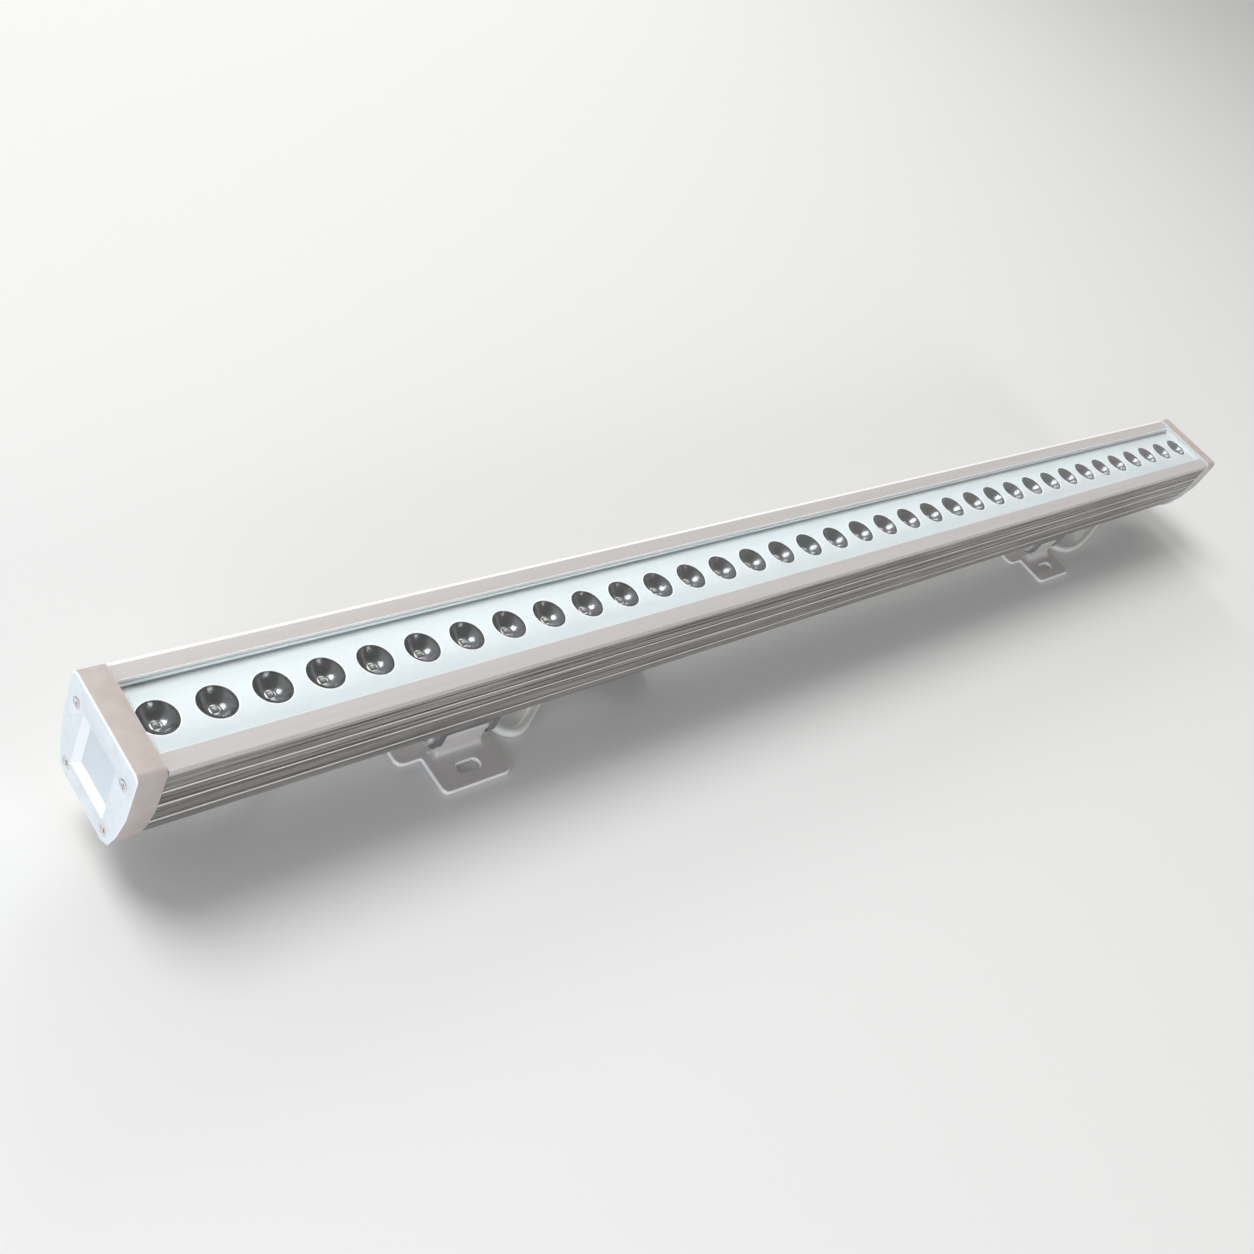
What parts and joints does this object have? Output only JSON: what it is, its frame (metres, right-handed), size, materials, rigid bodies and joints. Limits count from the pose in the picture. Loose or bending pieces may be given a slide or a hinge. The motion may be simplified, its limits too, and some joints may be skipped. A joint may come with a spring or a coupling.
{
  "type": "outdoor wall washer light",
  "caption": "Linear outdoor wall washer: ribbed aluminium bar with a row of reflector optics under glass, cast end caps, slotted tilting feet and plug-ended supply leads",
  "frame": {"origin": "midway between the two slotted fixing holes, on the fixing surface under the feet", "axes": "+X along the light, +Z the way the light shines, the fixing tabs stand out towards -Y"},
  "size_m": [1, 0.0725, 0.0837],
  "materials": {
    "extrusion_grey": "satin grey powder coat on extruded aluminium",
    "cap_grey": "light grey powder coat on cast aluminium",
    "foot_cast": "grey cast aluminium, satin",
    "hinge_aluminium": "milled, satin",
    "screw_steel": "stainless steel",
    "clear_glass": "toughened clear glass",
    "mask_white": "white film",
    "reflector_metallised": "vacuum metallised plastic, modelled as chrome",
    "silicone_white": "white silicone rubber",
    "led_yellow": "phosphor and silicone",
    "board_white": "metal-core board with white solder mask",
    "terminal_white": "moulded nylon",
    "driver_black": "moulded case",
    "potting_grey": "cured potting resin",
    "wire_red": "insulated wire",
    "nylon_natural": "natural nylon",
    "lead_grey": "limp grey silicone sheath",
    "boot_black": "moulded rubber",
    "plug_black": "moulded nylon"
  },
  "bodies": {
    "housing": {"housing": "extrusion_grey", "end_cap_left": "cap_grey", "end_cap_right": "cap_grey", "end_gasket_left": "silicone_white", "end_gasket_right": "silicone_white", "cap_screws_left": "screw_steel", "cap_screws_right": "screw_steel", "cover_glass": "clear_glass", "glass_seal": "silicone_white", "window_mask": "mask_white", "reflector_cups_left": "reflector_metallised", "reflector_cups_middle": "reflector_metallised", "reflector_cups_right": "reflector_metallised", "led_emitters": "led_yellow", "circuit_boards": "board_white", "board_screws": "screw_steel", "board_links": "terminal_white", "driver_cases": "driver_black", "driver_filling": "potting_grey", "driver_wires": "wire_red", "supply_cables": "lead_grey", "hinge_block_left": "hinge_aluminium", "hinge_block_right": "hinge_aluminium", "hinge_screws_left": "screw_steel", "hinge_screws_right": "screw_steel", "pivot_bolt_left": "screw_steel", "pivot_bolt_right": "screw_steel", "pivot_nut_left": "screw_steel", "pivot_nut_right": "screw_steel", "pivot_washers_left": "nylon_natural", "pivot_washers_right": "nylon_natural", "lead_boot_in": "boot_black", "lead_boot_out": "boot_black", "lead_in": "lead_grey", "lead_out": "lead_grey", "plug_in": "plug_black", "plug_in_ring": "plug_black", "plug_in_cap": "plug_black", "plug_out": "plug_black", "plug_out_ring": "plug_black", "plug_out_cap": "plug_black"},
    "foot_left": {"foot_left": "foot_cast"},
    "foot_right": {"foot_right": "foot_cast"}
  },
  "joints": [
    {"name": "foot_left_tilt", "type": "hinge", "parent": "housing", "child": "foot_left", "pos_m": [-0.3, 0.0165, 0.0155], "axis": [-1, 0, 0], "range_deg": [-35, 75]},
    {"name": "foot_right_tilt", "type": "hinge", "parent": "housing", "child": "foot_right", "pos_m": [0.3, 0.0165, 0.0155], "axis": [-1, 0, 0], "range_deg": [-35, 75]}
  ]
}
